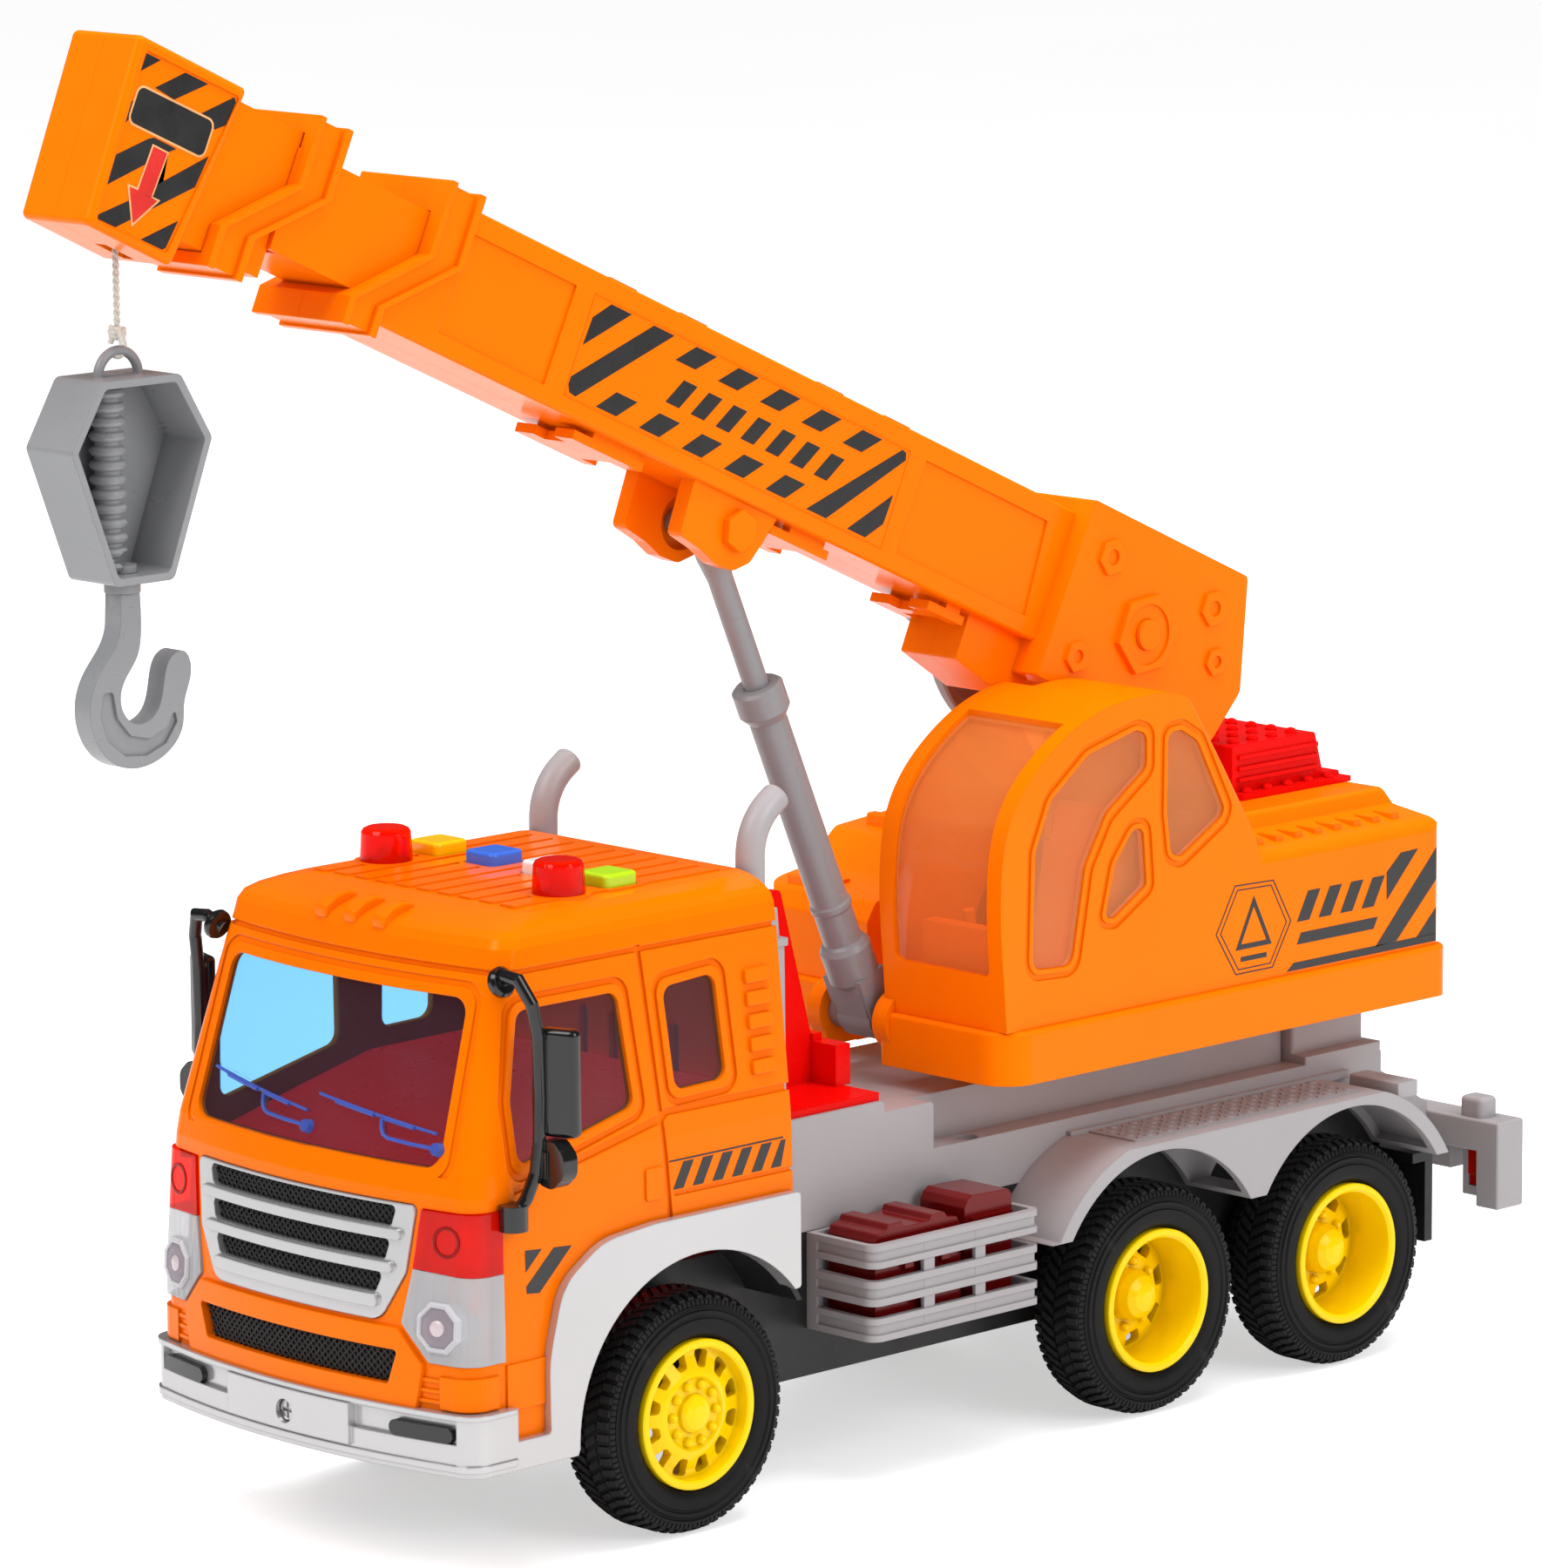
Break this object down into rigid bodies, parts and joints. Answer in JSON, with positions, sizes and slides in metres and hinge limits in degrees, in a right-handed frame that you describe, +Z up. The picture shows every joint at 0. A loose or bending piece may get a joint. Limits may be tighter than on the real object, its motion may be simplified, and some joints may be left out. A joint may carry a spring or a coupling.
{
  "type": "toy crane truck",
  "caption": "Three-axle toy crane truck with a slewing house, telescopic boom with lift ram, hand winch, string, hook block and swivelling hook, roof buttons and beacons.",
  "frame": {"origin": "middle of the footprint, on the ground under the tyres", "axes": "+Z up, -Y to the front of the truck, +X to the truck's left side"},
  "size_m": [0.1304, 0.4348, 0.3445],
  "materials": {
    "orange_paint": "gloss orange, printed stripes",
    "orange_plastic": "semi-gloss orange, printed stripes",
    "silver": "silver paint",
    "black_plastic": "fine-grained black",
    "black_gloss": "gloss black",
    "black_mesh": "black woven mesh relief",
    "grey_plastic": "grey, faint sheen",
    "light_grey_plastic": "light grey, satin",
    "red_plastic": "bright red",
    "dark_red_plastic": "shiny dark red",
    "yellow_plastic": "yellow",
    "tyre_black": "moulded tread",
    "blue_glazing": "blue tint",
    "clear_glazing": "clear, faint pink tint",
    "red_lens": "red translucent",
    "clear_lens": "clear lens",
    "led_white": "milky",
    "btn_yellow": "yellow",
    "btn_blue": "blue",
    "btn_white": "white",
    "btn_green": "light green",
    "board_green": "circuit board",
    "cell_wrap": "wrapped cell",
    "steel": "drawn steel",
    "gear_white": "natural nylon",
    "string_white": "twisted string"
  },
  "bodies": {
    "truck": {"chassis_frame": "black_plastic", "battery_door": "black_plastic", "battery_cells": "cell_wrap", "bed": "light_grey_plastic", "rear_light_bar": "light_grey_plastic", "tail_lights": "red_lens", "front_bumper": "silver", "fog_pads": "black_gloss", "case_screws": "steel", "cab_shell": "orange_paint", "grille_surround": "silver", "grille_mesh": "black_mesh", "marker_lenses": "red_lens", "headlamp_lenses": "clear_lens", "cab_glazing": "blue_glazing", "cab_interior": "red_plastic", "circuit_board": "board_green", "beacon_lenses": "red_lens", "lamp_leds": "led_white", "speaker": "black_plastic", "exhaust_frame": "light_grey_plastic", "tool_rack": "red_plastic", "side_baskets": "light_grey_plastic", "toolboxes": "dark_red_plastic", "mirrors": "black_gloss", "turntable_screw": "steel", "gearbox_cover": "black_plastic"},
    "front_wheels": {"front_tyres": "tyre_black", "front_rims": "yellow_plastic", "front_axle": "steel"},
    "mid_wheels": {"mid_tyres": "tyre_black", "mid_rims": "yellow_plastic", "mid_axle": "steel", "axle_gear": "gear_white"},
    "rear_wheels": {"rear_tyres": "tyre_black", "rear_rims": "yellow_plastic", "rear_axle": "steel"},
    "compound": {"compound_gear": "gear_white"},
    "flywheel_rotor": {"flywheel": "steel"},
    "yellow_key": {"button_yellow": "btn_yellow"},
    "blue_key": {"button_blue": "btn_blue"},
    "white_key": {"button_white": "btn_white"},
    "green_key": {"button_green": "btn_green"},
    "upper": {"turntable_base": "orange_plastic", "house_shell": "orange_plastic", "crane_glazing": "clear_glazing", "engine_block": "red_plastic", "boom_pivot_pin": "orange_plastic"},
    "barrel": {"ram_barrel": "grey_plastic"},
    "rod": {"ram_rod": "grey_plastic"},
    "boom": {"boom_left_shell": "orange_plastic", "boom_right_shell": "orange_plastic"},
    "middle_section": {"boom_middle": "orange_plastic"},
    "tip_section": {"boom_head_left": "orange_plastic", "boom_head_right": "orange_plastic"},
    "winch": {"winch_wheel": "grey_plastic"},
    "load_block": {"hook_block": "grey_plastic"},
    "swivel_hook": {"hook": "grey_plastic"},
    "load_line": {"hoist_string": "string_white"}
  },
  "joints": [
    {"name": "front_wheel_spin", "type": "hinge", "parent": "truck", "child": "front_wheels", "pos_m": [0, -0.07865, 0.028], "axis": [1, 0, 0], "continuous": true},
    {"name": "mid_wheel_spin", "type": "hinge", "parent": "truck", "child": "mid_wheels", "pos_m": [0, 0.07305, 0.028], "axis": [1, 0, 0], "continuous": true},
    {"name": "rear_wheel_spin", "type": "hinge", "parent": "truck", "child": "rear_wheels", "pos_m": [0, 0.14065, 0.028], "axis": [1, 0, 0], "continuous": true},
    {"name": "compound_spin", "type": "hinge", "parent": "truck", "child": "compound", "pos_m": [0, 0.08463, 0.03772], "axis": [1, 0, 0], "continuous": true},
    {"name": "flywheel_spin", "type": "hinge", "parent": "truck", "child": "flywheel_rotor", "pos_m": [0, 0.10175, 0.03772], "axis": [1, 0, 0], "continuous": true},
    {"name": "yellow_press", "type": "slide", "parent": "truck", "child": "yellow_key", "axis": [0, 0, -1], "range_m": [0, 0.0015], "stiffness_N_per_m": 300, "springref_m": -0.0005},
    {"name": "blue_press", "type": "slide", "parent": "truck", "child": "blue_key", "axis": [0, 0, -1], "range_m": [0, 0.0015], "stiffness_N_per_m": 300, "springref_m": -0.0005},
    {"name": "white_press", "type": "slide", "parent": "truck", "child": "white_key", "axis": [0, 0, -1], "range_m": [0, 0.0015], "stiffness_N_per_m": 300, "springref_m": -0.0005},
    {"name": "green_press", "type": "slide", "parent": "truck", "child": "green_key", "axis": [0, 0, -1], "range_m": [0, 0.0015], "stiffness_N_per_m": 300, "springref_m": -0.0005},
    {"name": "slew", "type": "hinge", "parent": "truck", "child": "upper", "pos_m": [0, 0.10135, 0.087], "axis": [0, 0, 1], "continuous": true},
    {"name": "boom_lift", "type": "hinge", "parent": "upper", "child": "boom", "pos_m": [0, 0.10485, 0.1816], "axis": [-1, 0, 0], "range_deg": [-14, 17]},
    {"name": "barrel_tilt", "type": "hinge", "parent": "upper", "child": "barrel", "pos_m": [0, 0.02835, 0.097], "axis": [-1, 0, 0], "range_deg": [-9.22, 11.13]},
    {"name": "rod_travel", "type": "slide", "parent": "barrel", "child": "rod", "axis": [0, -0.3961, 0.9182], "range_m": [-0.02548, 0.03088]},
    {"name": "middle_section_slide", "type": "slide", "parent": "boom", "child": "middle_section", "axis": [0, -0.91, 0.4147], "range_m": [0, 0.05]},
    {"name": "tip_section_slide", "type": "slide", "parent": "middle_section", "child": "tip_section", "axis": [0, -0.91, 0.4147], "range_m": [0, 0.05]},
    {"name": "winch_turn", "type": "hinge", "parent": "boom", "child": "winch", "pos_m": [0, 0.10485, 0.1816], "axis": [1, 0, 0], "range_deg": [-76, 286]},
    {"name": "line_hang", "type": "hinge", "parent": "tip_section", "child": "load_line", "pos_m": [0, -0.19792, 0.29804], "axis": [-1, 0, 0], "range_deg": [-17.3, 14.3]},
    {"name": "hoist_travel", "type": "slide", "parent": "load_line", "child": "load_block", "axis": [0, 0, -1], "range_m": [-0.008, 0.0301], "deforming": ["hoist_string"]},
    {"name": "hook_swivel", "type": "hinge", "parent": "load_block", "child": "swivel_hook", "pos_m": [0, -0.19792, 0.22304], "axis": [0, 0, 1], "continuous": true}
  ],
  "couplings": [
    {"joint": "compound_spin", "follows": "mid_wheel_spin", "ratio": -2},
    {"joint": "flywheel_spin", "follows": "mid_wheel_spin", "ratio": 4.8},
    {"joint": "barrel_tilt", "follows": "boom_lift", "ratio": 0.637},
    {"joint": "rod_travel", "follows": "boom_lift", "m_per_rad": 0.10305},
    {"joint": "line_hang", "follows": "boom_lift", "ratio": -1},
    {"joint": "hoist_travel", "follows": "winch_turn", "m_per_rad": 0.006}
  ]
}
